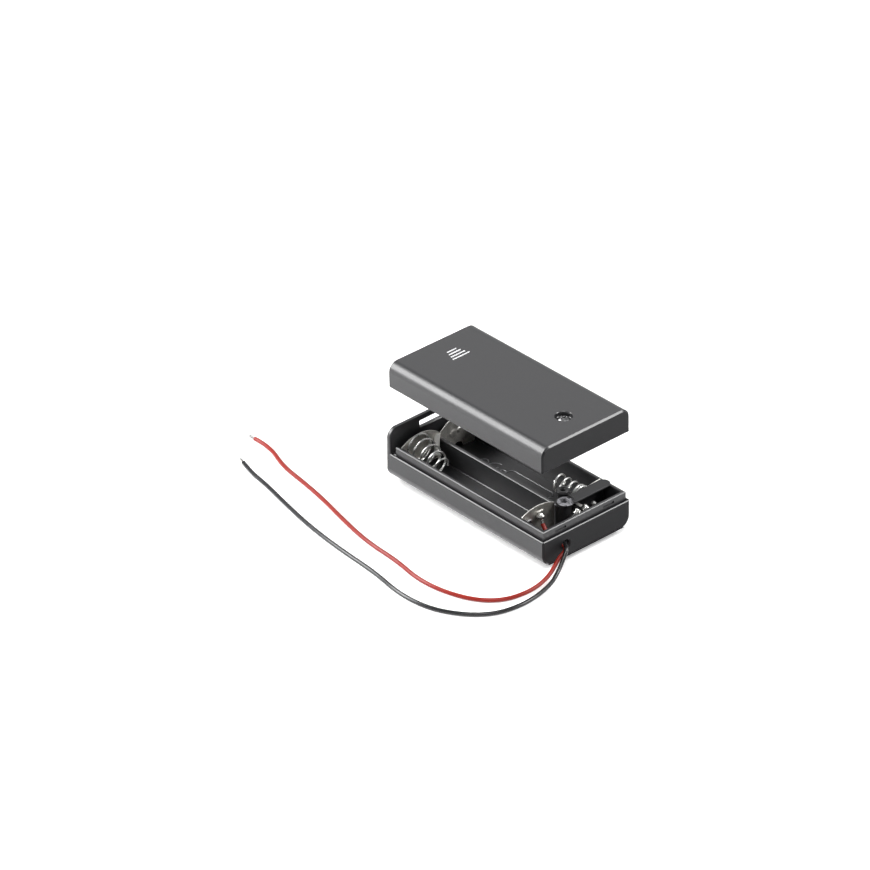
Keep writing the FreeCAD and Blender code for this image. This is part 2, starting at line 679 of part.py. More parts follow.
def solder(x, y, z, wetted):
    """Bead of solder, narrower at its foot and crown, with the pieces that it wets cut away."""
    waist = SOLDER_RADIUS
    half = waist * SOLDER_FLAT
    lower = Part.makeCone(half, waist, waist, Vector(x, y, z - waist), Z_AXIS)
    upper = Part.makeCone(waist, half, half, Vector(x, y, z), Z_AXIS)
    return lower.fuse(upper).cut(wetted)


def build_all():
    parts = {
        "base_tray": base_tray(),
        "cover": cover(),
        "cover_screw": cover_screw(),
        "rear_link_contact": rear_link_contact(),
        "rear_spring": rear_spring(),
        "front_positive_contact": front_positive_contact(),
        "front_negative_contact": front_negative_contact(),
        "front_spring": front_spring(),
        "retainer_strip": retainer_strip(),
        "switch_housing": switch_housing(),
        "switch_board": switch_board(),
        "switch_slider": switch_slider(),
        "switch_wiper": switch_wiper(),
        "switch_pin_off": switch_pin(-1),
        "switch_pin_common": switch_pin(0),
        "switch_pin_on": switch_pin(1),
        "red_lead_inside": lead_tube(red_inside),
        "black_lead_inside": lead_tube(black_inside),
        "red_lead": lead_tube(red_route, "red lead"),
        "black_lead": lead_tube(black_route, "black lead"),
        "red_lead_tip": bare_tip(red_route),
        "black_lead_tip": bare_tip(black_route),
    }
    tag_face = positive_x + 2 * SHEET
    parts["positive_solder"] = solder(tag_face + SOLDER_RADIUS / 2, *red_inside[0][1:],
                                      [parts["red_lead_inside"], parts["front_positive_contact"]])
    parts["lead_solder"] = solder(switch_x, off_pin_y, black_inside[0][2],
                                  [parts["black_lead_inside"], parts["switch_pin_off"]])
    parts["tail_solder"] = solder(switch_x, SWITCH_Y, tail_top,
                                  [parts["front_negative_contact"], parts["switch_pin_common"]])
    return parts


os.makedirs("parts", exist_ok=True)
for node, shape in build_all().items():
    shape.exportStep("parts/" + node + ".step")
    print(node, "valid", shape.isValid(), "solids", len(shape.Solids), "volume", round(shape.Volume, 2))
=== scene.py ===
import math

import bmesh
import bpy
from mathutils import Matrix, Vector


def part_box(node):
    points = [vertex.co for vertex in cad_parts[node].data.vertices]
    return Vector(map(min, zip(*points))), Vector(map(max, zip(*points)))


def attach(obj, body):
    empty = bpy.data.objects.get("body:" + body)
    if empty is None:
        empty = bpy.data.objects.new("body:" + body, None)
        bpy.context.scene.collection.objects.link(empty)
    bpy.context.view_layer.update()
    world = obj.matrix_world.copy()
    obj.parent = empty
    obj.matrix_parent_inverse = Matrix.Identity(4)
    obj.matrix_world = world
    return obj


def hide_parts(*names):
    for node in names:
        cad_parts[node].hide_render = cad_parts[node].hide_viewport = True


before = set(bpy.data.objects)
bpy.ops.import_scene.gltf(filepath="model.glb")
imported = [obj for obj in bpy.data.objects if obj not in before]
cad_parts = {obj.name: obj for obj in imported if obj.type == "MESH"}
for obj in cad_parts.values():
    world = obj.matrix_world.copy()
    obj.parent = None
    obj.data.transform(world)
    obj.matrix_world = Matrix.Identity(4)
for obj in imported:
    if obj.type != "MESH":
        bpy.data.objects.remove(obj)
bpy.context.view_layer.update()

bl_info = {
    "name": "Two-cell battery box",
    "version": (1, 0, 0),
    "blender": (4, 5, 0),
    "location": "3D View > Sidebar > Battery Box",
    "description": "Dresses a two-cell battery box with its cover lifted, switch, contacts and leads",
    "category": "Object",
}

MM = 0.001

# Routes of the leads in millimetres, as in the part's source. A lead that lies down is one radius up.
LEAD_RADIUS = 0.65
RED_ROUTE = [
    (34.2, -8.75, 5.4), (35.2, -9.23, 5.4), (35.75, -10.4, 5.1), (35.8, -12.2, 4.35),
    (36.4, -14.4, 3.1), (37.4, -17.4, 1.65), (38.4, -21.6, 0.85), (39.0, -27.4, 0.65),
    (37.6, -35.2, 0.65), (32.3, -41.2, 0.65), (23.1, -45.0, 0.65), (12.2, -46.3, 0.65),
    (0.4, -44.2, 0.65), (-12.8, -43.8, 0.65), (-26.1, -41.2, 0.65), (-39.7, -37.9, 0.65),
    (-51.6, -35.9, 0.65), (-61.7, -34.6, 0.65), (-72.7, -30.3, 0.65), (-79.4, -30.6, 0.65)]
BLACK_ROUTE = [
    (34.2, -8.75, 6.8), (35.2, -9.23, 6.8), (36.5, -10.2, 6.25), (37.3, -11.9, 4.9),
    (38.1, -13.9, 3.35), (39.3, -16.7, 1.95), (40.9, -20.6, 1.0), (42.2, -26.6, 0.65),
    (42.8, -33.8, 0.65), (41.0, -42.3, 0.65), (35.0, -49.2, 0.65), (25.8, -54.2, 0.65),
    (14.0, -55.3, 0.65), (1.1, -53.0, 0.65), (-13.5, -52.3, 0.65), (-28.3, -50.9, 0.65),
    (-42.5, -48.3, 0.65), (-58.0, -44.8, 0.65), (-65.5, -43.8, 0.65), (-71.3, -41.9, 0.65)]
RED_INSIDE = [
    (23.9, -8.6, 10.9), (25.4, -9.2, 9.0), (27.6, -9.4, 7.0), (30.2, -8.35, 5.6),
    (32.08, -7.75, 5.4), (34.2, -8.75, 5.4)]
BLACK_INSIDE = [
    (29.0, 0.1, 10.5), (29.0, -2.6, 9.5), (29.8, -5.45, 7.8), (32.08, -7.75, 6.8), (34.2, -8.75, 6.8)]

# Places and sizes in millimetres that the part's source also has
CELL_Y = 7.915
CELL_Z = 10.2
FLOOR_Z = 2.95
UNDERSIDE_Z = 1.6
SCREW_X = 24.6
SHEET = 0.3
GRIP_BARS = 4
GRIP_PITCH = 1.38
GRIP_RAISE = 0.25
GRIP_SHORTEST = 3.6
GRIP_GROWTH = 1.0
GRIP_FROM_REAR = 8.6
GRIP_CENTRE_Y = 1.0

# The tray's lower long edges are rounded by this much, and its edges that need a width of their own are
# found by these places, in millimetres: snap pockets, boss, exit hole, front ledge, end corners and
# outer faces.
BOTTOM_ROUNDING = 4.0
POCKET_FROM_X = 32.9
POCKET_Z = (11.2, 12.3)
BOSS_FROM_Z = 12.8
BOSS_REACH = 2.6
EXIT_Y = -8.75
EXIT_REACH = 2.6
EXIT_TOP_Z = 9.0
LEDGE_FROM_Z = 10.4
CORNER_DEPTH = 3.0
OUTER_SKIN = (0.25, 0.15)

# An edge whose two ends lie this near a moulding's front face, in millimetres, is one of its outline
ON_FRONT = 0.01

# Screw's bore in the boss, and the two posts' centres, in millimetres
BORE_REACH = 1.2
BORE_FROM_Z = 9.0
HEAD_CENTRE = (25.0, 0.05)
POST_CENTRE = (21.15, 2.6)

# Cover's stretch with the grip ridges, and how far a ridge's crest lies from its bar's rear side
GRIP_STRETCH_X = (-26.0, -20.0)
GRIP_CREST = 0.5
RIDGE_RADIUS = 0.25

# Bare ends of the leads, in millimetres
BARE_RADIUS = 0.4
TIP_LENGTH = 2.44
STRIPPED_LENGTH = 2.6

# Bent tongue of the rear contact, in millimetres: its middle line, and the direction of its width
TONGUE_LINE = ((-30.95, -0.25, 11.3), (-30.65, -0.5, 11.05), (-30.3, -0.8, 10.6), (-27.7, -3.2, 6.9),
               (-27.5, -3.4, 6.5))
TONGUE_ACROSS = (0.707, 0.707, 0.0)
TONGUE_WIDTH = 1.6

# Camera of the photograph: angles in degrees, place along its own right, up and back in millimetres
CAMERA_ANGLES = (48.945, 31.726, -1.234)
CAMERA_PLACE = (-21.523, 19.529, 1768.87)
CAMERA_LENS = 248.28

# The floor lies this much under the knob's tip, in millimetres, so that the two don't share a plane
FLOOR_DROP = 0.03

# Corners of a loose mesh closer than this, in metres, are one corner
MERGE_DISTANCE = 2e-6


class BoxSizes(bpy.types.PropertyGroup):
    """Sizes that shape the visible pieces."""

    outer_edge: bpy.props.FloatProperty(
        name="Outer edge radius", description="Rounding of the mouldings' long outer edges, in millimetres",
        default=0.22, min=0.05, max=0.6)
    front_corner: bpy.props.FloatProperty(
        name="Front corner width",
        description="Width of the flats round the front of both mouldings, in millimetres",
        default=0.5, min=0.1, max=0.6)
    small_edge: bpy.props.FloatProperty(
        name="Small edge radius", description="Rounding of all the other moulded edges, in millimetres",
        default=0.18, min=0.02, max=0.3)
    sheet_edge: bpy.props.FloatProperty(
        name="Sheet edge radius", description="Rounding of the stamped contacts' edges, in millimetres",
        default=0.07, min=0.01, max=0.14)
    wire_radius: bpy.props.FloatProperty(
        name="Spring wire radius", description="Half the thickness of the spring wire, in millimetres",
        default=0.3, min=0.1, max=0.5)
    letter_height: bpy.props.FloatProperty(
        name="Letter height", description="Height of the raised switch lettering, in millimetres",
        default=2.6, min=1.0, max=4.0)


class BoxColours(bpy.types.PropertyGroup):
    """Colours of the finishes."""

    case: bpy.props.FloatVectorProperty(
        name="Case", description="Moulded plastic of the tray and the cover", subtype="COLOR",
        default=(0.022, 0.022, 0.0235), min=0.0, max=1.0)
    red_jacket: bpy.props.FloatVectorProperty(
        name="Red lead", description="Insulation of the red lead", subtype="COLOR",
        default=(0.23, 0.015, 0.009), min=0.0, max=1.0)
    black_jacket: bpy.props.FloatVectorProperty(
        name="Black lead", description="Insulation of the black lead", subtype="COLOR",
        default=(0.010, 0.010, 0.011), min=0.0, max=1.0)
    nickel: bpy.props.FloatVectorProperty(
        name="Nickel", description="Plating of the sheet contacts", subtype="COLOR",
        default=(0.74, 0.72, 0.67), min=0.0, max=1.0)


# Finishes that are not slots of the record, with the slot that each belongs to
RECORD_SLOTS = {"end_face": "black_case", "melted_head": "black_case", "polished_ridge": "black_case",
                "sheared_edge": "nickel_plate", "dull_solder": "solder"}


# Shader groups and finishes

def add_node(tree, kind, inputs=None, **settings):
    """Adds a node, sets its options and fills its inputs from numbers or from other nodes' sockets."""
    node = tree.nodes.new(kind)
    for key, value in settings.items():
        setattr(node, key, value)
    for key, value in (inputs or {}).items():
        if isinstance(value, bpy.types.NodeSocket):
            tree.links.new(value, node.inputs[key])
        else:
            node.inputs[key].default_value = value
    return node


def maths(tree, operation, first, second=0.0):
    kind = "ShaderNodeMath"
    return add_node(tree, kind, {0: first, 1: second}, operation=operation).outputs[0]


def new_group(name, kind, inputs, outputs):
    """Makes a node group with named sockets and gives back its tree, its input node and its output node."""
    tree = bpy.data.node_groups.new(name, kind)
    for label, socket, default in inputs:
        item = tree.interface.new_socket(name=label, in_out="INPUT", socket_type=socket)
        if default is not None:
            item.default_value = default
    for label, socket in outputs:
        tree.interface.new_socket(name=label, in_out="OUTPUT", socket_type=socket)
    return tree, tree.nodes.new("NodeGroupInput"), tree.nodes.new("NodeGroupOutput")


def moulding_grain():
    """Fine spark-eroded texture of a moulding tool: a height, and a mask of its hollows."""
    name = "Moulding grain"
    if name in bpy.data.node_groups:
        return bpy.data.node_groups[name]
    tree, given, result = new_group(
        name, "ShaderNodeTree",
        [("Grain size", "NodeSocketFloat", 0.0002), ("Waviness", "NodeSocketFloat", 0.2)],
        [("Height", "NodeSocketFloat"), ("Hollows", "NodeSocketFloat")])
    place = add_node(tree, "ShaderNodeTexCoord").outputs["Object"]
    scale = maths(tree, "DIVIDE", 1.0, given.outputs["Grain size"])
    grain = add_node(tree, "ShaderNodeTexNoise",
                     {"Vector": place, "Scale": scale, "Detail": 2.0, "Roughness": 0.6})
    wave = add_node(tree, "ShaderNodeTexNoise",
                    {"Vector": place, "Scale": maths(tree, "MULTIPLY", scale, 0.02), "Detail": 1.0})
    waved = maths(tree, "MULTIPLY", wave.outputs["Fac"], given.outputs["Waviness"])
    tree.links.new(maths(tree, "ADD", grain.outputs["Fac"], waved), result.inputs["Height"])
    hollows = add_node(tree, "ShaderNodeMapRange",
                       {"Value": grain.outputs["Fac"], "From Min": 0.35, "From Max": 0.6})
    tree.links.new(hollows.outputs[0], result.inputs["Hollows"])
    return tree


def handling_marks():
    """Slow, cloudy change of gloss and tone that handling, flow of the melt and dust leave."""
    name = "Handling marks"
    if name in bpy.data.node_groups:
        return bpy.data.node_groups[name]
    tree, given, result = new_group(
        name, "ShaderNodeTree",
        [("Patch size", "NodeSocketFloat", 0.01), ("Roughness", "NodeSocketFloat", 0.4),
         ("Spread", "NodeSocketFloat", 0.1)],
        [("Roughness", "NodeSocketFloat"), ("Cloud", "NodeSocketFloat")])
    place = add_node(tree, "ShaderNodeTexCoord").outputs["Object"]
    scale = maths(tree, "DIVIDE", 1.0, given.outputs["Patch size"])
    cloud = add_node(tree, "ShaderNodeTexNoise",
                     {"Vector": place, "Scale": scale, "Detail": 4.0, "Roughness": 0.55})
    swing = maths(tree, "MULTIPLY", maths(tree, "SUBTRACT", cloud.outputs["Fac"], 0.5),
                  given.outputs["Spread"])
    tree.links.new(maths(tree, "ADD", swing, given.outputs["Roughness"]), result.inputs["Roughness"])
    tree.links.new(cloud.outputs["Fac"], result.inputs["Cloud"])
    return tree


def finish(slot, dark, light, roughness, spread=0.1, metallic=0.0, specular=0.5, grain=0.0002,
           depth=0.00002, patch=0.01, coat=0.0):
    """Procedural finish: two tones mixed by the cloud and the grain, cloudy gloss and a fine relief.

    grain, depth and patch are in metres: the size of the grain, its height and the size of a cloud."""
    name = slot + "_finish"
    if name in bpy.data.materials:
        return bpy.data.materials[name]
    material = bpy.data.materials.new(name)
    material.use_nodes = True
    tree = material.node_tree
    surface = tree.nodes["Principled BSDF"]
    relief = add_node(tree, "ShaderNodeGroup", node_tree=moulding_grain())
    relief.inputs["Grain size"].default_value = grain
    marks = add_node(tree, "ShaderNodeGroup", node_tree=handling_marks())
    marks.inputs["Patch size"].default_value = patch
    marks.inputs["Roughness"].default_value = roughness
    marks.inputs["Spread"].default_value = spread
    mask = maths(tree, "MULTIPLY", relief.outputs["Hollows"], marks.outputs["Cloud"])
    tone = add_node(tree, "ShaderNodeMix", {0: mask, 6: (*dark, 1.0), 7: (*light, 1.0)}, data_type="RGBA")
    tree.links.new(tone.outputs[2], surface.inputs["Base Color"])
    tree.links.new(marks.outputs["Roughness"], surface.inputs["Roughness"])
    bump = add_node(tree, "ShaderNodeBump",
                    {"Height": relief.outputs["Height"], "Distance": depth, "Strength": 1.0})
    tree.links.new(bump.outputs[0], surface.inputs["Normal"])
    surface.inputs["Metallic"].default_value = metallic
    surface.inputs["Specular IOR Level"].default_value = specular
    surface.inputs["Coat Weight"].default_value = coat
    return material


def brighter(colour, factor):
    """The colour times a factor, with no channel over 1."""
    return tuple(min(1.0, channel * factor) for channel in colour)


def finishes():
    """All finishes by material slot."""
    colours = bpy.context.scene.box_colours
    case = tuple(colours.case)
    nickel = tuple(colours.nickel)
    return {
        "black_case": finish("black_case", case, brighter(case, 1.4), 0.30, 0.08, specular=0.45,
                             grain=0.00018, depth=0.000002, patch=0.012),
        # Painted shade: the mouldings' front ends get a darker tone and a weaker reflection than the rest
        # of the same plastic.
        "end_face": finish("end_face", brighter(case, 0.6), brighter(case, 0.8), 0.42, 0.1, specular=0.1,
                           grain=0.00018, depth=0.000002, patch=0.012),
        # Light mottled tone of the melted head; on the wall of the screw's bore the same tone is painted
        # light over the hole's shade.
        "melted_head": finish("melted_head", brighter(case, 2.0), brighter(case, 26.0), 0.42, 0.3,
                              grain=0.0007, depth=0.00006, patch=0.001),
        "black_strip": finish("black_strip", brighter(case, 1.1), brighter(case, 1.6), 0.5, 0.15,
                              grain=0.00025, depth=0.000004, patch=0.004),
        "switch_plastic": finish("switch_plastic", brighter(case, 0.8), brighter(case, 1.2), 0.35, 0.1,
                                 grain=0.0002, depth=0.000003, patch=0.004),
        "switch_board": finish("switch_board", (0.10, 0.065, 0.035), (0.17, 0.11, 0.06), 0.6, 0.15,
                               grain=0.0003, depth=0.00002, patch=0.002),
        # Painted highlight: raised ridges and outline lines of the black plastic are made many times
        # lighter, for the light their crests catch.
        "polished_ridge": finish("polished_ridge", brighter(case, 6.0), brighter(case, 9.0), 0.28, 0.05,
                                 specular=0.8, grain=0.0003, depth=0.000001, patch=0.002),
        "screw_steel": finish("screw_steel", (0.2, 0.2, 0.205), (0.46, 0.46, 0.46), 0.26, 0.15,
                              metallic=1.0, grain=0.0003, depth=0.000003, patch=0.002),
        "nickel_plate": finish("nickel_plate", brighter(nickel, 0.85), brighter(nickel, 1.1), 0.34, 0.25,
                               metallic=0.82, grain=0.0008, depth=0.00002, patch=0.002),
        # Painted highlight: a lighter, less metallic nickel for the sheet edges that face up to the lights,
        # and for the rear tongue.
        "sheared_edge": finish("sheared_edge", (0.85, 0.84, 0.8), (0.95, 0.94, 0.91), 0.4, 0.1,
                               metallic=0.5, grain=0.0004, depth=0.000004, patch=0.002),
        "spring_wire": finish("spring_wire", (0.82, 0.82, 0.8), (0.95, 0.95, 0.94), 0.28, 0.12,
                              metallic=0.85, grain=0.0004, depth=0.000004, patch=0.002),
        "red_jacket": finish("red_jacket", tuple(colours.red_jacket), brighter(colours.red_jacket, 1.25),
                             0.3, 0.12, specular=0.28, grain=0.0003, depth=0.000003, patch=0.004),
        "black_jacket": finish("black_jacket", tuple(colours.black_jacket),
                               brighter(colours.black_jacket, 1.6), 0.24, 0.08, specular=0.4,
                               grain=0.0003, depth=0.000003, patch=0.004, coat=0.1),
        "tinned_copper": finish("tinned_copper", (0.24, 0.235, 0.23), (0.42, 0.415, 0.4), 0.28, 0.15,
                                metallic=1.0, grain=0.0002, depth=0.00001, patch=0.001),
        "solder": finish("solder", (0.32, 0.32, 0.31), (0.62, 0.61, 0.58), 0.24, 0.25, metallic=0.9,
                         grain=0.0006, depth=0.00008, patch=0.0012),
        "dull_solder": finish("dull_solder", (0.16, 0.16, 0.16), (0.3, 0.3, 0.29), 0.42, 0.2, metallic=0.7,
                              grain=0.0006, depth=0.00003, patch=0.0012),
    }


# Helpers for pieces

def place_piece(piece, body, slot, *nodes):
    """Gives a piece its finish and its body, and lets it stand for CAD nodes."""
    if piece.type in {"MESH", "CURVE"} and not piece.data.materials:
        piece.data.materials.append(finishes()[slot])
    RECORD_SLOTS.get(slot, slot)
    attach(piece, body)
    if nodes:
        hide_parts(*nodes)
    return piece


def part_finish(piece, slot, picked):
    """Gives another finish to the faces that a test picks by their centre in millimetres and direction."""
    piece.data.materials.append(finishes()[slot])
    for face in piece.data.polygons:
        if picked(face.center / MM, face.normal):
            face.material_index = len(piece.data.materials) - 1


def front_end(front_x):
    """Test that picks the upright faces of a moulding's front end, at front_x in millimetres, which get
    painted shade.
    """
    depth, least_turn, most_tilt = 0.6, 0.6, 0.5
    return lambda place, out: place.x > front_x - depth and out.x > least_turn and abs(out.z) < most_tilt


def link_mesh(name, mesh):
    """Puts a mesh into the scene as an object at the origin."""
    piece = bpy.data.objects.new(name, mesh)
    bpy.context.collection.objects.link(piece)
    return piece


def work_piece(name, work):
    """Ends a bmesh: puts it into the scene as an object of its own."""
    mesh = bpy.data.meshes.new(name)
    work.to_mesh(mesh)
    work.free()
    return link_mesh(name, mesh)


def applied(piece, name):
    """Turns a piece with live modifiers, or a curve, into a plain mesh object."""
    mesh = bpy.data.meshes.new_from_object(piece.evaluated_get(bpy.context.evaluated_depsgraph_get()))
    bpy.data.objects.remove(piece)
    mesh.name = name
    return link_mesh(name, mesh)


def merged_copy(node, name):
    """Copy of a CAD node's solid with its doubled corners merged."""
    work = bmesh.new()
    work.from_mesh(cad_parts[node].data)
    bmesh.ops.remove_doubles(work, verts=work.verts, dist=MERGE_DISTANCE)
    return work_piece(name, work)


def trimmed(piece, name, bar):
    """Keeps only what of a piece lies inside a bar."""
    trim = piece.modifiers.new("Rounded outside", "BOOLEAN")
    trim.operation = "INTERSECT"
    trim.solver = "EXACT"
    trim.object = bar
    result = applied(piece, name)
    bpy.data.objects.remove(bar)
    return result


def crisp(piece, name):
    """Parts the shading at each edge of more than 30 degrees, so that a chamfer catches light as a flat."""
    work = bmesh.new()
    work.from_mesh(piece.data)
    for edge in work.edges:
        if len(edge.link_faces) == 2:
            edge.smooth = edge.calc_face_angle(0.0) < math.radians(30)
    work.to_mesh(piece.data)
    work.free()
    return piece


def softened(node, name, width, widths=None, segments=3, sharp=25.0, bar=None, shape=None):
    """Copy of a CAD node's solid, merged, with rounded edges.

    width is the rounding in millimetres. widths may give another one for an edge's two ends, or 0 for none.
    What lies outside the bar, where one is given, is cut off first. shape may move corners before that."""
    plain = merged_copy(node, name + "_plain")
    if shape:
        shape(plain.data)
    if bar:
        plain = trimmed(plain, name + "_plain", bar)
    work = bmesh.new()
    work.from_mesh(plain.data)
    bpy.data.objects.remove(plain)
    bmesh.ops.remove_doubles(work, verts=work.verts, dist=MERGE_DISTANCE)
    layer = work.edges.layers.float.new("bevel_weight_edge")
    widest = width
    chosen = {}
    for edge in work.edges:
        if len(edge.link_faces) == 2 and edge.calc_face_angle(0.0) > math.radians(sharp):
            ends = [vertex.co / MM for vertex in edge.verts]
            chosen[edge] = widths(*ends) if widths else width
            widest = max(widest, chosen[edge])
    for edge, amount in chosen.items():
        edge[layer] = amount / widest
    for face in work.faces:
        face.smooth = True
    piece = work_piece(name, work)
    bevel = piece.modifiers.new("Rounded edges", "BEVEL")
    bevel.limit_method = "WEIGHT"
    bevel.width = widest * MM
    bevel.segments = segments
    bevel.use_clamp_overlap = False
    bevel.loop_slide = False
    if segments == 1:
        piece = crisp(applied(piece, name), name)
    level = piece.modifiers.new("Level flats", "WEIGHTED_NORMAL")
    level.mode = "FACE_AREA"
    level.keep_sharp = True
    return applied(piece, name)


def turned(name, centre, outline, steps=48):
    """Ring turned about an upright axis, from a closed outline of radii and heights in millimetres.

    A third number in the outline shifts that circle along X."""
    work = bmesh.new()
    rings = []
    for step in range(steps):
        angle = math.tau * step / steps
        rings.append([work.verts.new(Vector((centre[0] + sum(shift) + radius * math.cos(angle),
                                             centre[1] + radius * math.sin(angle), height)) * MM)
                      for radius, height, *shift in outline])
    for step in range(steps):
        here, there = rings[step], rings[(step + 1) % steps]
        for index in range(len(outline)):
            after = (index + 1) % len(outline)
            work.faces.new([here[index], there[index], there[after], here[after]]).smooth = True
    bmesh.ops.recalc_face_normals(work, faces=work.faces)
    return work_piece(name, work)


def bent_sheet(name, line, across, width, thickness, edge=0.06):
    """Strip of sheet along a line of places, all in millimetres, with broken edges."""
    work = bmesh.new()
    sections = []
    for index, place in enumerate(line):
        along = (line[min(index + 1, len(line) - 1)] - line[max(index - 1, 0)]).normalized()
        out = across.cross(along).normalized()
        section = [place + across * (side * width / 2) + out * (face * thickness / 2)
                   for side, face in ((-1, -1), (1, -1), (1, 1), (-1, 1))]
        sections.append([work.verts.new(corner * MM) for corner in section])
    for here, there in zip(sections, sections[1:]):
        for index in range(4):
            after = (index + 1) % 4
            work.faces.new([here[index], there[index], there[after], here[after]])
    work.faces.new(sections[0])
    work.faces.new(list(reversed(sections[-1])))
    bmesh.ops.recalc_face_normals(work, faces=work.faces)
    piece = work_piece(name, work)
    bevel = piece.modifiers.new("Broken edges", "BEVEL")
    bevel.width = edge * MM
    bevel.segments = 2
    bevel.angle_limit = math.radians(50)
    return applied(piece, name)


def line_curve(name, lines):
    """Curve of lines with straight stretches, each line a list of places in metres."""
    curve = bpy.data.curves.new(name, "CURVE")
    curve.dimensions = "3D"
    for line in lines:
        spline = curve.splines.new("POLY")
        spline.points.add(len(line) - 1)
        for point, place in zip(spline.points, line):
            point.co = (*place, 1.0)
    piece = bpy.data.objects.new(name, curve)
    bpy.context.collection.objects.link(piece)
    return piece


def wire_curve(name, points, radius, order=3, resolution=8, sides=4):
    """Round wire on one NURBS spline, with the points as its control points. All in millimetres."""
    curve = bpy.data.curves.new(name, "CURVE")
    curve.dimensions = "3D"
    spline = curve.splines.new("NURBS")
    spline.points.add(len(points) - 1)
    for target, point in zip(spline.points, points):
        target.co = (*(value * MM for value in point), 1.0)
    spline.order_u = order
    spline.use_endpoint_u = True
    spline.resolution_u = resolution
    curve.bevel_depth = radius * MM
    curve.bevel_resolution = sides
    curve.use_fill_caps = True
    piece = bpy.data.objects.new(name, curve)
    bpy.context.collection.objects.link(piece)
    return piece


def socket_named(tree, label):
    """Identifier of a geometry tree's input, by which a modifier's value is set."""
    return next(item.identifier for item in tree.interface.items_tree
                if item.item_type == "SOCKET" and item.in_out == "INPUT" and item.name == label)


def grown(name, tree, values, start=None):
    """Runs a geometry tree on a piece and gives back its result as a plain mesh."""
    piece = start or link_mesh(name + "_seed", bpy.data.meshes.new(name + "_seed"))
    modifier = piece.modifiers.new(tree.name, "NODES")
    modifier.node_group = tree
    for label, value in values.items():
        modifier[socket_named(tree, label)] = value
    return applied(piece, name)


def finished_geometry(tree, result, geometry, material, smoothly=True):
    """Ends a geometry tree: shading, instances made real, and the finish set."""
    smooth = add_node(tree, "GeometryNodeSetShadeSmooth", {"Geometry": geometry, "Shade Smooth": smoothly})
    real = add_node(tree, "GeometryNodeRealizeInstances", {"Geometry": smooth.outputs[0]})
    done = add_node(tree, "GeometryNodeSetMaterial", {"Geometry": real.outputs[0], "Material": material})
    tree.links.new(done.outputs[0], result.inputs["Geometry"])


def coil_tree():
    """Conical compression spring: a flat turn at the base, an even rise, and a curl at the tip."""
    name = "Contact spring"
    if name in bpy.data.node_groups:
        return bpy.data.node_groups[name]
    length = "NodeSocketFloat"
    tree, given, result = new_group(
        name, "GeometryNodeTree",
        [("Base centre", "NodeSocketVector", None), ("Length", length, 0.01), ("Turns", length, 5.0),
         ("Base radius", length, 0.004), ("Tip radius", length, 0.0023), ("Droop", length, 0.0),
         ("Curl turns", length, 0.5), ("Curl radius", length, 0.001), ("Start turn", length, 0.0),
         ("Wire radius", length, 0.0003),
         ("Material", "NodeSocketMaterial", None)],
        [("Geometry", "NodeSocketGeometry")])
    value = given.outputs
    line = add_node(tree, "GeometryNodeCurvePrimitiveLine")
    points = add_node(tree, "GeometryNodeResampleCurve", {"Curve": line.outputs[0], "Count": 260})
    factor = add_node(tree, "GeometryNodeSplineParameter").outputs["Factor"]
    wound = maths(tree, "MULTIPLY", factor, maths(tree, "ADD", value["Turns"], value["Curl turns"]))
    climbing = maths(tree, "MAXIMUM", maths(tree, "SUBTRACT",
                                            maths(tree, "MINIMUM", wound, value["Turns"]), 1.0), 0.0)
    rise = maths(tree, "DIVIDE", climbing, maths(tree, "SUBTRACT", value["Turns"], 1.0))
    curl = maths(tree, "DIVIDE", maths(tree, "MAXIMUM",
                                       maths(tree, "SUBTRACT", wound, value["Turns"]), 0.0),
                 maths(tree, "MAXIMUM", value["Curl turns"], 0.001))
    narrowing = maths(tree, "SUBTRACT", value["Tip radius"], value["Base radius"])
    taper = maths(tree, "MULTIPLY", rise, narrowing)
    closing = maths(tree, "SUBTRACT", value["Curl radius"], value["Tip radius"])
    inward = maths(tree, "MULTIPLY", curl, closing)
    radius = maths(tree, "ADD", maths(tree, "ADD", value["Base radius"], taper), inward)
    angle = maths(tree, "MULTIPLY", maths(tree, "ADD", wound, value["Start turn"]), 2 * math.pi)
    sag = maths(tree, "MULTIPLY", value["Droop"], maths(tree, "MULTIPLY", rise, rise))
    offset = add_node(tree, "ShaderNodeCombineXYZ", {
        "X": maths(tree, "MULTIPLY", value["Length"], rise),
        "Y": maths(tree, "MULTIPLY", radius, maths(tree, "SINE", angle)),
        "Z": maths(tree, "SUBTRACT", maths(tree, "MULTIPLY", radius, maths(tree, "COSINE", angle)), sag)})
    position = add_node(tree, "ShaderNodeVectorMath",
                        {0: value["Base centre"], 1: offset.outputs[0]}, operation="ADD")
    bent = add_node(tree, "GeometryNodeSetPosition",
                    {"Geometry": points.outputs[0], "Position": position.outputs[0]})
    section = add_node(tree, "GeometryNodeCurvePrimitiveCircle", {"Resolution": 12})
    tree.links.new(value["Wire radius"], section.inputs["Radius"])
    wire = add_node(tree, "GeometryNodeCurveToMesh",
                    {"Curve": bent.outputs[0], "Profile Curve": section.outputs[0], "Fill Caps": True})
    finished_geometry(tree, result, wire.outputs[0], value["Material"])
    return tree


def raised_line_tree():
    """Raised moulded line along a drawn curve."""
    name = "Raised line"
    if name in bpy.data.node_groups:
        return bpy.data.node_groups[name]
    tree, given, result = new_group(
        name, "GeometryNodeTree",
        [("Geometry", "NodeSocketGeometry", None), ("Line radius", "NodeSocketFloat", 0.0001),
         ("Sides", "NodeSocketInt", 8), ("Smooth", "NodeSocketBool", True),
         ("Material", "NodeSocketMaterial", None)],
        [("Geometry", "NodeSocketGeometry")])
    section = add_node(tree, "GeometryNodeCurvePrimitiveCircle", {"Resolution": given.outputs["Sides"]})
    tree.links.new(given.outputs["Line radius"], section.inputs["Radius"])
    line = add_node(tree, "GeometryNodeCurveToMesh", {
        "Curve": given.outputs["Geometry"], "Profile Curve": section.outputs[0], "Fill Caps": True})
    finished_geometry(tree, result, line.outputs[0], given.outputs["Material"], given.outputs["Smooth"])
    return tree


# Stage

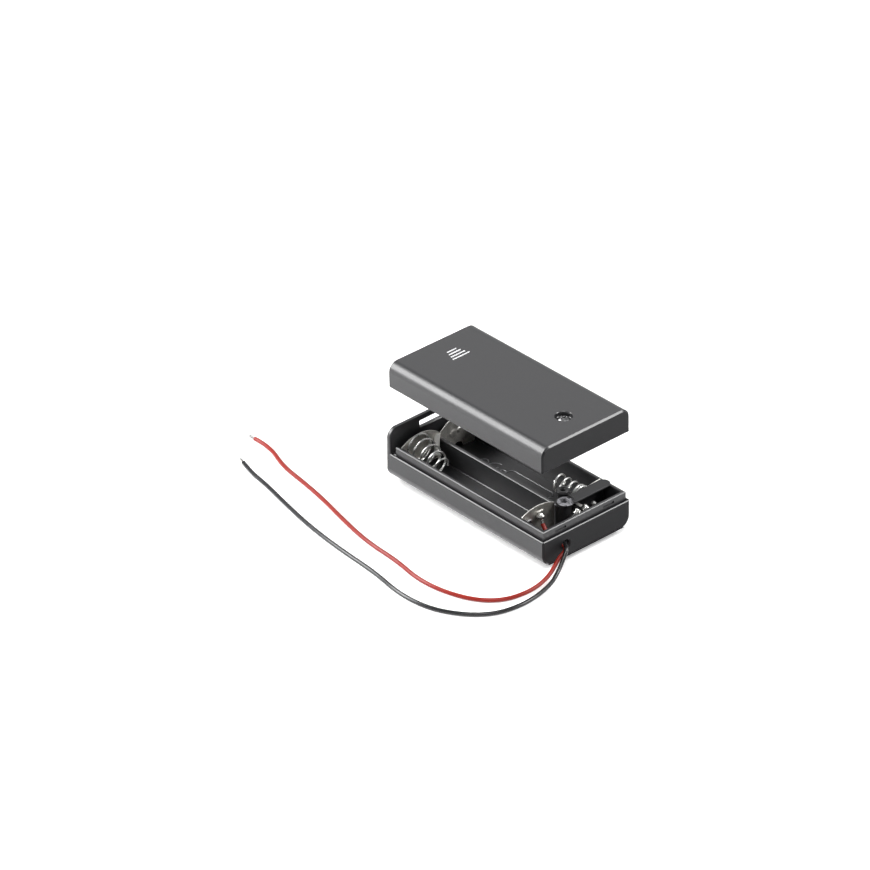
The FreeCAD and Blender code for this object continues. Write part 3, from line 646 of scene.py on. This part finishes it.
class BATTERYBOX_OT_stage(bpy.types.Operator):
    """Camera, floor and soft studio light"""

    bl_idname = "battery_box.stage"
    bl_label = "Stage"

    def execute(self, context):
        self.camera(context.scene)
        self.floor()
        self.light(context.scene)
        return {"FINISHED"}

    def camera(self, scene):
        """Camera of the photograph, found from the case's corners."""
        azimuth, elevation, roll = (math.radians(value) for value in CAMERA_ANGLES)
        back = Vector((math.sin(azimuth) * math.cos(elevation),
                       -math.cos(azimuth) * math.cos(elevation), math.sin(elevation)))
        level = Vector((math.cos(azimuth), math.sin(azimuth), 0.0))
        upright = back.cross(level)
        right = level * math.cos(roll) + upright * math.sin(roll)
        up = upright * math.cos(roll) - level * math.sin(roll)
        place = sum((way * amount for way, amount in zip((right, up, back), CAMERA_PLACE)), Vector()) * MM
        place.z += UNDERSIDE_Z * MM
        data = bpy.data.cameras.new("Camera")
        data.lens = CAMERA_LENS
        data.sensor_width = 36.0
        data.clip_start = 0.05
        data.clip_end = 50.0
        camera = bpy.data.objects.new("Camera", data)
        bpy.context.collection.objects.link(camera)
        camera.matrix_world = Matrix.Translation(place) @ Matrix((right, up, back)).transposed().to_4x4()
        scene.camera = camera

    def floor(self):
        """Plain pale floor."""
        work = bmesh.new()
        bmesh.ops.create_grid(work, x_segments=1, y_segments=1, size=4.0)
        bmesh.ops.translate(work, verts=work.verts, vec=(0.0, 0.0, -FLOOR_DROP * MM))
        floor = work_piece("floor", work)
        material = bpy.data.materials.new("floor")
        material.use_nodes = True
        surface = material.node_tree.nodes["Principled BSDF"]
        surface.inputs["Base Color"].default_value = (0.88, 0.88, 0.88, 1.0)
        surface.inputs["Emission Color"].default_value = (1.0, 1.0, 1.0, 1.0)
        surface.inputs["Emission Strength"].default_value = 0.25
        surface.inputs["Roughness"].default_value = 0.9
        surface.inputs["Specular IOR Level"].default_value = 0.1
        floor.data.materials.append(material)

    def soft_box(self, name, direction, distance, width, height, radiance, tall=(0.0, 0.0, 1.0)):
        """Area light that faces the object, from a direction in the object's frame.

        Its height runs as nearly as it can along the direction called tall."""
        data = bpy.data.lights.new(name, "AREA")
        data.shape = "RECTANGLE"
        data.size = width
        data.size_y = height
        data.energy = radiance * math.pi * width * height
        light = bpy.data.objects.new(name, data)
        bpy.context.collection.objects.link(light)
        out = Vector(direction).normalized()
        along = Vector(tall)
        along = (along - out * along.dot(out)).normalized()
        turn = Matrix((along.cross(out), along, out)).transposed().to_4x4()
        light.matrix_world = Matrix.Translation(out * distance + Vector((0.0, 0.0, 0.02))) @ turn

    def light(self, scene):
        """Even white surroundings, a tall key light with a bright core, and three softer lights."""
        world = scene.world or bpy.data.worlds.new("World")
        scene.world = world
        world.use_nodes = True
        background = world.node_tree.nodes["Background"]
        background.inputs["Color"].default_value = (1.0, 1.0, 1.0, 1.0)
        background.inputs["Strength"].default_value = 0.4
        key_side, key_tall = (-0.64, -0.53, 0.556), (0.0, 0.727, 0.687)
        self.soft_box("key", key_side, 0.9, 0.30, 1.2, 6.0, key_tall)
        self.soft_box("key_core", key_side, 0.88, 0.28, 0.6, 13.0, key_tall)
        self.soft_box("front_top", (0.33, -0.2, 0.92), 1.1, 0.3, 0.8, 8.0, (0.0, -1.0, 0.0))
        self.soft_box("top_back", (-0.64, 0.556, 0.53), 1.2, 0.7, 0.7, 0.7)
        self.soft_box("end_edge", (0.53, 0.556, 0.64), 1.2, 0.3, 0.4, 25.0, (-0.7, 0.0, 0.7))
        scene.view_settings.view_transform = "Standard"


# Leads

def strand_bundle(name, start, heading, radius, length, twist=0.7, unevenness=0.05):
    """Bare end of a lead: six strands twisted round a seventh, in millimetres.

    twist is in turns over the length, and unevenness is the share by which the strands differ in length."""
    heading = heading.normalized()
    side = heading.orthogonal().normalized()
    other = heading.cross(side)
    strand = radius / 3
    steps = 13
    lines = []
    for index in range(7):
        out = 0.0 if index == 6 else 2 * strand
        lines.append([])
        for step in range(steps):
            along = step / (steps - 1)
            angle = math.tau * (index / 6 + twist * along)
            place = start + heading * (along * length * (1 - unevenness * (index % 3)))
            place += (side * math.cos(angle) + other * math.sin(angle)) * out
            lines[-1].append(place * MM)
    piece = line_curve(name, lines)
    piece.data.bevel_depth = strand * MM
    piece.data.bevel_resolution = 2
    piece.data.use_fill_caps = True
    return applied(piece, name)


class BATTERYBOX_OT_leads(bpy.types.Operator):
    """Red and black lead: the free stretch with its bare tip, and the stretch inside the tray"""

    bl_idname = "battery_box.leads"
    bl_label = "Leads"

    def execute(self, context):
        for colour, route, inside, length in (("red", RED_ROUTE, RED_INSIDE, 0.150),
                                              ("black", BLACK_ROUTE, BLACK_INSIDE, 0.155)):
            slot = colour + "_jacket"
            lead = wire_curve(colour + "_lead_jacket", route, LEAD_RADIUS)
            place_piece(lead, "tray", slot, colour + "_lead")
            end, before = Vector(route[-1]), Vector(route[-2])
            tip = strand_bundle(colour + "_strands", end, end - before, BARE_RADIUS, TIP_LENGTH)
            place_piece(tip, "tray", "tinned_copper", colour + "_lead_tip")
            tuple(value * MM for value in route[0])
            if colour == "red":
                # The red lead is stripped where it meets its contact, and its jacket starts later.
                start, after = Vector(inside[0]), Vector(inside[1])
                stripped = strand_bundle("red_strands_inside", start, after - start,
                                         BARE_RADIUS, STRIPPED_LENGTH)
                place_piece(stripped, "tray", "tinned_copper")
                inside = [tuple(start.lerp(after, 0.8))] + inside[1:]
            hidden = wire_curve(colour + "_lead_hidden", inside, LEAD_RADIUS)
            place_piece(applied(hidden, colour + "_jacket_inside"), "tray", slot, colour + "_lead_inside")
        return {"FINISHED"}


# Mouldings

class BATTERYBOX_OT_tray(bpy.types.Operator):
    """Moulded tray with rounded edges"""

    bl_idname = "battery_box.tray"
    bl_label = "Tray"

    def execute(self, context):
        sizes = context.scene.box_sizes
        low, high = (Vector(corner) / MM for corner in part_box("base_tray"))

        def widths(first, second):
            """None in the pockets, at the boss's top and in the bottom rounding, and wide ones in front."""
            middle = (first + second) / 2
            if middle.x > POCKET_FROM_X and POCKET_Z[0] < middle.z < POCKET_Z[1]:
                return 0.0
            if middle.z > BOSS_FROM_Z and math.hypot(middle.x - SCREW_X, middle.y) < BOSS_REACH:
                return 0.0
            if min(first.x, second.x) > high.x - ON_FRONT:
                if abs(middle.y - EXIT_Y) < EXIT_REACH and middle.z < EXIT_TOP_Z:
                    return sizes.small_edge
                return sizes.outer_edge if middle.z > LEDGE_FROM_Z else sizes.front_corner
            if middle.z < low.z + BOTTOM_ROUNDING and (abs(middle.y) > high.y - BOTTOM_ROUNDING
                                                       or abs(middle.x) > high.x - CORNER_DEPTH):
                return 0.0
            if abs(middle.x) > high.x - OUTER_SKIN[0] or abs(middle.y) > high.y - OUTER_SKIN[1]:
                return sizes.outer_edge
            return sizes.small_edge

        tray = softened("base_tray", "tray_moulding", sizes.small_edge, widths, segments=1,
                        bar=self.bar(low, high))
        place_piece(tray, "tray", "black_case", "base_tray")
        # Painted shade: the tray's front end faces take the darker end finish.
        part_finish(tray, "end_face", front_end(high.x))
        # Painted light: the bore's wall takes the head's light tone in place of the hole's shade.
        part_finish(tray, "melted_head", self.in_bore)
        return {"FINISHED"}

    def in_bore(self, place, out):
        """Picks the wall of the screw's bore, which is painted with the head's light tone against its
        shade.
        """
        return (abs(place.x - SCREW_X) < BORE_REACH and abs(place.y) < BORE_REACH
                and place.z > BORE_FROM_Z and abs(out.z) < 0.5)

    def bar(self, low, high, steps=12, spare=0.02, margin=2.0):
        """Bar along the tray, with its two lower edges rounded, that the tray is cut to.

        It is larger than the tray by spare where it is rounded, and by margin elsewhere."""
        outline = [(high.y + margin, high.z + margin), (low.y - margin, high.z + margin)]
        for side, first in ((-1, 180), (1, 270)):
            centre_y = (low.y if side < 0 else high.y) - side * (BOTTOM_ROUNDING - spare)
            centre_z = low.z + BOTTOM_ROUNDING - spare
            if side < 0:
                outline.append((low.y - margin, centre_z))
            for step in range(steps + 1):
                angle = math.radians(first + 90 * step / steps)
                outline.append((centre_y + BOTTOM_ROUNDING * math.cos(angle),
                                centre_z + BOTTOM_ROUNDING * math.sin(angle)))
            if side > 0:
                outline.append((high.y + margin, centre_z))
        work = bmesh.new()
        ends = [[work.verts.new(Vector((x, y, z)) * MM) for y, z in outline]
                for x in (low.x - margin, high.x + margin)]
        work.faces.new(ends[0])
        work.faces.new(list(reversed(ends[1])))
        for index in range(len(outline)):
            after = (index + 1) % len(outline)
            work.faces.new([ends[0][index], ends[1][index], ends[1][after], ends[0][after]])
        bmesh.ops.recalc_face_normals(work, faces=work.faces)
        return work_piece("tray_bar", work)


class BATTERYBOX_OT_posts(bpy.types.Operator):
    """Melted head over the screw boss, and the hollow post beside the front spring"""

    bl_idname = "battery_box.posts"
    bl_label = "Boss head and post"

    def execute(self, context):
        hole_shift = SCREW_X - HEAD_CENTRE[0]
        head = turned("boss_head", HEAD_CENTRE, [
            (1.1, 12.9, hole_shift), (2.45, 12.9), (2.6, 13.0), (2.58, 13.08), (2.4, 13.14),
            (1.2, 13.14, hole_shift), (1.1, 13.05, hole_shift)])
        place_piece(head, "tray", "melted_head")
        post = turned("spring_post", POST_CENTRE, [
            (0.8, 11.0), (0.8, FLOOR_Z), (1.5, FLOOR_Z), (1.5, 13.3), (1.95, 13.45), (2.0, 13.6),
            (2.0, 14.15), (1.9, 14.33), (1.75, 14.38), (1.0, 14.3), (0.85, 14.2)])
        place_piece(post, "tray", "black_case")
        return {"FINISHED"}


class BATTERYBOX_OT_cover(bpy.types.Operator):
    """Moulded cover with rounded edges, its screw well and its grip ridges"""

    bl_idname = "battery_box.cover"
    bl_label = "Cover"

    def execute(self, context):
        sizes = context.scene.box_sizes
        low, high = (Vector(corner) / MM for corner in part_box("cover"))
        top = high.z - GRIP_RAISE
        near, sunk = 0.1, 0.02

        def widths(first, second):
            """None at the sunk grip bars, and a wide one round the front, apart from its lower side."""
            middle = (first + second) / 2
            if middle.z > top - near and GRIP_STRETCH_X[0] < middle.x < GRIP_STRETCH_X[1]:
                return 0.0
            if min(first.x, second.x) > high.x - ON_FRONT:
                return sizes.front_corner if middle.z > low.z + near else sizes.small_edge
            return sizes.outer_edge if middle.x < low.x + near else sizes.small_edge

        def shape(mesh):
            """Sinks the source's square bars, for which the ridges stand."""
            for vertex in mesh.vertices:
                if vertex.co.z > (top + near) * MM:
                    vertex.co.z = (top - sunk) * MM

        cover = softened("cover", "cover_moulding", sizes.small_edge, widths, segments=1, shape=shape)
        place_piece(cover, "cover", "black_case", "cover")
        # Painted shade: the cover's front end faces take the darker end finish.
        part_finish(cover, "end_face", front_end(high.x))
        self.ridges(high.x, top)
        return {"FINISHED"}

    def ridges(self, half_length, top):
        """Four sharp ridges where the source has square grip bars, with the same lengths and pitch."""
        lines = []
        for index in range(GRIP_BARS):
            half = (GRIP_SHORTEST + GRIP_GROWTH * index) / 2
            x = -half_length + GRIP_FROM_REAR + GRIP_CREST + GRIP_PITCH * index
            lines.append([(x * MM, y * MM, top * MM) for y in (GRIP_CENTRE_Y - half, GRIP_CENTRE_Y + half)])
        # The ridges' finish is a painted highlight: light grey for the light that their facets catch.
        ridges = grown("grip_ridges", raised_line_tree(), {
            "Line radius": RIDGE_RADIUS * MM, "Sides": 4, "Smooth": False,
            "Material": finishes()["polished_ridge"]}, line_curve("grip_lines", lines))
        place_piece(ridges, "cover", "polished_ridge")


class BATTERYBOX_OT_screw(bpy.types.Operator):
    """Pan-head screw of the cover"""

    bl_idname = "battery_box.screw"
    bl_label = "Screw"

    def execute(self, context):
        screw = softened("cover_screw", "pan_head_screw", width=0.06, sharp=30.0)
        place_piece(screw, "screw", "screw_steel", "cover_screw")
        return {"FINISHED"}


class BATTERYBOX_OT_strip(bpy.types.Operator):
    """Flat strip that holds the front contact down"""

    bl_idname = "battery_box.strip"
    bl_label = "Retainer strip"

    def execute(self, context):
        strip = softened("retainer_strip", "retainer", context.scene.box_sizes.small_edge)
        place_piece(strip, "tray", "black_strip", "retainer_strip")
        return {"FINISHED"}


# Contacts

class BATTERYBOX_OT_contacts(bpy.types.Operator):
    """Stamped sheet contacts with broken edges"""

    bl_idname = "battery_box.contacts"
    bl_label = "Sheet contacts"

    def execute(self, context):
        edge = context.scene.box_sizes.sheet_edge
        for node in ("rear_link_contact", "front_positive_contact", "front_negative_contact"):
            sheet = softened(node, node.replace("contact", "sheet"), edge, segments=2)
            if node == "front_negative_contact":
                self.lower_near_end(sheet.data)
            place_piece(sheet, "tray", "nickel_plate", node)
            # Painted highlight on the edges that face up.
            part_finish(sheet, "sheared_edge", self.faces_up)
        line = [Vector(place) for place in TONGUE_LINE]
        tongue = bent_sheet("rear_tongue", line, Vector(TONGUE_ACROSS), TONGUE_WIDTH, SHEET)
        # The tongue is painted in the lighter highlight nickel throughout.
        place_piece(tongue, "tray", "sheared_edge")
        return {"FINISHED"}

    def faces_up(self, place, out):
        """Picks the upward edges of an upright sheet, which get a painted highlight."""
        return abs(out.x) < 0.8 and out.z > 0.2

    def lower_near_end(self, mesh, fall=1.2, near_y=5.0, above=13.3):
        """Slopes the plate's top edge down towards the boss, where the strip hides it, in millimetres."""
        for vertex in mesh.vertices:
            if vertex.co.z > above * MM and vertex.co.y < near_y * MM:
                vertex.co.z -= fall * MM


class BATTERYBOX_OT_springs(bpy.types.Operator):
    """Coil springs of the near rear and the far front contact"""

    bl_idname = "battery_box.springs"
    bl_label = "Springs"

    def execute(self, context):
        wire = context.scene.box_sizes.wire_radius
        rows = (
            ("rear_spring", "rear_coil", (-30.48, -CELL_Y, CELL_Z),
             {"Length": 10.8, "Base radius": 4.2, "Tip radius": 2.4, "Droop": 1.9, "Curl radius": 1.9},
             {"Turns": 5.0, "Curl turns": 0.3, "Start turn": 0.0}),
            ("front_spring", "front_coil", (23.18, CELL_Y, CELL_Z),
             {"Length": -9.4, "Base radius": 3.5, "Tip radius": 2.7, "Droop": -0.7, "Curl radius": 2.3},
             {"Turns": 4.46, "Curl turns": 0.3, "Start turn": 0.6}))
        for node, name, base, lengths, turns in rows:
            coil = grown(name, coil_tree(), {
                "Base centre": [value * MM for value in base], "Wire radius": wire * MM,
                "Material": finishes()["spring_wire"], **turns,
                **{label: length * MM for label, length in lengths.items()}})
            place_piece(coil, "tray", "spring_wire", node)
        return {"FINISHED"}


# Switch

class BATTERYBOX_OT_switch(bpy.types.Operator):
    """Slide switch: housing, board, knob, contact strip and pins"""

    bl_idname = "battery_box.switch"
    bl_label = "Switch"

    def execute(self, context):
        rows = (("switch_housing", "switch_shell", "tray", "switch_plastic", 0.1),
                ("switch_board", "switch_plate", "tray", "switch_board", 0.05),
                ("switch_slider", "switch_knob", "slider", "switch_plastic", 0.09),
                ("switch_wiper", "switch_spring_strip", "slider", "nickel_plate", 0.03),
                ("switch_pin_off", "pin_off", "tray", "nickel_plate", 0.06),
                ("switch_pin_common", "pin_common", "tray", "nickel_plate", 0.06),
                ("switch_pin_on", "pin_on", "tray", "nickel_plate", 0.06))
        for node, name, body, slot, width in rows:
            place_piece(softened(node, name, width, segments=2), body, slot, node)
        return {"FINISHED"}


class BATTERYBOX_OT_lettering(bpy.types.Operator):
    """Raised outline lettering that names the two places of the switch"""

    bl_idname = "battery_box.lettering"
    bl_label = "Switch lettering"

    def execute(self, context):
        height = context.scene.box_sizes.letter_height
        capital_share, words_x, words_y = 0.69, 22.7, 4.35
        words = bpy.data.curves.new("switch_words", "FONT")
        words.body = "OFF-ON"
        words.size = height / capital_share * MM
        words.space_character = 1.12
        words.align_x = "CENTER"
        words.fill_mode = "NONE"
        words.bevel_depth = 0.07 * MM
        words.bevel_resolution = 1
        piece = bpy.data.objects.new("switch_words", words)
        bpy.context.collection.objects.link(piece)
        piece = applied(piece, "switch_lettering")
        # Seen from below the words run towards +Y, with the tops of the letters towards +X.
        place = Matrix.Translation(Vector((words_x, words_y, UNDERSIDE_Z)) * MM)
        turn = Matrix(((0, 1, 0), (1, 0, 0), (0, 0, -1))).to_4x4()
        piece.data.transform(place @ turn)
        place_piece(piece, "tray", "black_case")
        return {"FINISHED"}


# Marks in the bay

class BATTERYBOX_OT_marks(bpy.types.Operator):
    """Raised outline of a cell, with its poles, on the floor of the far bay"""

    bl_idname = "battery_box.marks"
    bl_label = "Cell outline"

    def execute(self, context):
        body = self.rounded(-10.5, 8.6, 4.6, 11.2, 1.8)
        nub = self.rounded(-12.4, -10.5, 6.6, 9.3, 0.5)
        shoulder = self.arc((-14.4, 7.9), 3.0, 95, 265)
        plus = [[(-15.6, 7.9), (-13.0, 7.9)], [(-14.3, 6.7), (-14.3, 9.1)]]
        ring = self.arc((-19.6, 8.3), 1.4, 0, 360)
        minus = [[(11.0, 7.9), (13.6, 7.9)]]
        flat = [body, nub, shoulder, ring] + plus + minus
        seed = line_curve("cell_outline_lines",
                          [[(x * MM, y * MM, FLOOR_Z * MM) for x, y in line] for line in flat])
        # The lines take the ridges' finish: a painted highlight, lighter than the floor for the light that
        # catches them.
        lines = grown("cell_outline", raised_line_tree(),
                      {"Line radius": 0.2 * MM, "Material": finishes()["polished_ridge"]}, seed)
        place_piece(lines, "tray", "polished_ridge")
        return {"FINISHED"}

    def arc(self, centre, radius, first, last, steps=20):
        """Round stretch of a line, between two angles in degrees."""
        return [(centre[0] + radius * math.cos(math.radians(first + (last - first) * step / steps)),
                 centre[1] + radius * math.sin(math.radians(first + (last - first) * step / steps)))
                for step in range(steps + 1)]

    def rounded(self, x0, x1, y0, y1, radius):
        """Closed outline with round corners."""
        line = []
        for x, y, first in ((x1 - radius, y1 - radius, 0), (x0 + radius, y1 - radius, 90),
                            (x0 + radius, y0 + radius, 180), (x1 - radius, y0 + radius, 270)):
            line += self.arc((x, y), radius, first, first + 90, 6)
        return line + line[:1]


# Solder

class BATTERYBOX_OT_solder(bpy.types.Operator):
    """Solder beads on the positive contact and on two switch pins"""

    bl_idname = "battery_box.solder"
    bl_label = "Solder"

    def execute(self, context):
        for node, name, body_radius, squat, lift in (("positive_solder", "bead_positive", 1.35, 1.0, 0.5),
                                                     ("lead_solder", "bead_lead", 1.3, 1.15, 0.3),
                                                     ("tail_solder", "bead_tail", 1.25, 1.0, 0.3)):
            low, high = (Vector(corner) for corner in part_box(node))
            centre = (low + high) / 2 + Vector((0.0, 0.0, lift)) * MM
            place_piece(self.bead(name, centre, body_radius, squat), "tray", "solder", node)
        low, high = (Vector(corner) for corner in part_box("switch_pin_on"))
        top = Vector(((low.x + high.x) / 2, (low.y + high.y) / 2, high.z))
        place_piece(self.bead("bead_on", top, 0.8, 0.8), "tray", "dull_solder")
        return {"FINISHED"}

    def bead(self, name, centre, radius, squat):
        """Drop that narrows to a foot and to a small peak, slightly lopsided as cooled solder is."""
        work = bmesh.new()
        bmesh.ops.create_uvsphere(work, u_segments=28, v_segments=18, radius=1.0)
        for vertex in work.verts:
            x, y, z = vertex.co
            flare = 1.0 + 0.16 * math.cos(3.0 * z) - 0.10 * z + 0.05 * math.sin(2.0 * math.atan2(y, x) + z)
            peak = 0.18 * max(0.0, z) ** 4
            vertex.co = Vector((x * flare, y * flare, z * squat + peak)) * radius * MM * 0.9 + centre
        for face in work.faces:
            face.smooth = True
        return work_piece(name, work)


class BATTERYBOX_PT_panel(bpy.types.Panel):
    """Sidebar panel that lists the sizes, the colours and the pieces"""

    bl_idname = "BATTERYBOX_PT_panel"
    bl_label = "Battery box"
    bl_space_type = "VIEW_3D"
    bl_region_type = "UI"
    bl_category = "Battery Box"

    def draw(self, context):
        layout = self.layout
        for group in (context.scene.box_sizes, context.scene.box_colours):
            for key in group.__annotations__:
                layout.prop(group, key)
        for operator in OPERATORS:
            layout.operator(operator.bl_idname)


OPERATORS = (BATTERYBOX_OT_stage, BATTERYBOX_OT_leads, BATTERYBOX_OT_tray, BATTERYBOX_OT_posts,
             BATTERYBOX_OT_cover, BATTERYBOX_OT_screw, BATTERYBOX_OT_strip, BATTERYBOX_OT_contacts,
             BATTERYBOX_OT_springs, BATTERYBOX_OT_switch, BATTERYBOX_OT_lettering, BATTERYBOX_OT_marks,
             BATTERYBOX_OT_solder)
CLASSES = (BoxSizes, BoxColours, *OPERATORS, BATTERYBOX_PT_panel)


def register():
    for item in CLASSES:
        bpy.utils.register_class(item)
    bpy.types.Scene.box_sizes = bpy.props.PointerProperty(type=BoxSizes)
    bpy.types.Scene.box_colours = bpy.props.PointerProperty(type=BoxColours)


def unregister():
    del bpy.types.Scene.box_colours
    del bpy.types.Scene.box_sizes
    for item in reversed(CLASSES):
        bpy.utils.unregister_class(item)


def main():
    register()
    for operator in OPERATORS:
        group, name = operator.bl_idname.split(".")
        getattr(getattr(bpy.ops, group), name)()


if __name__ == "__main__":
    main()
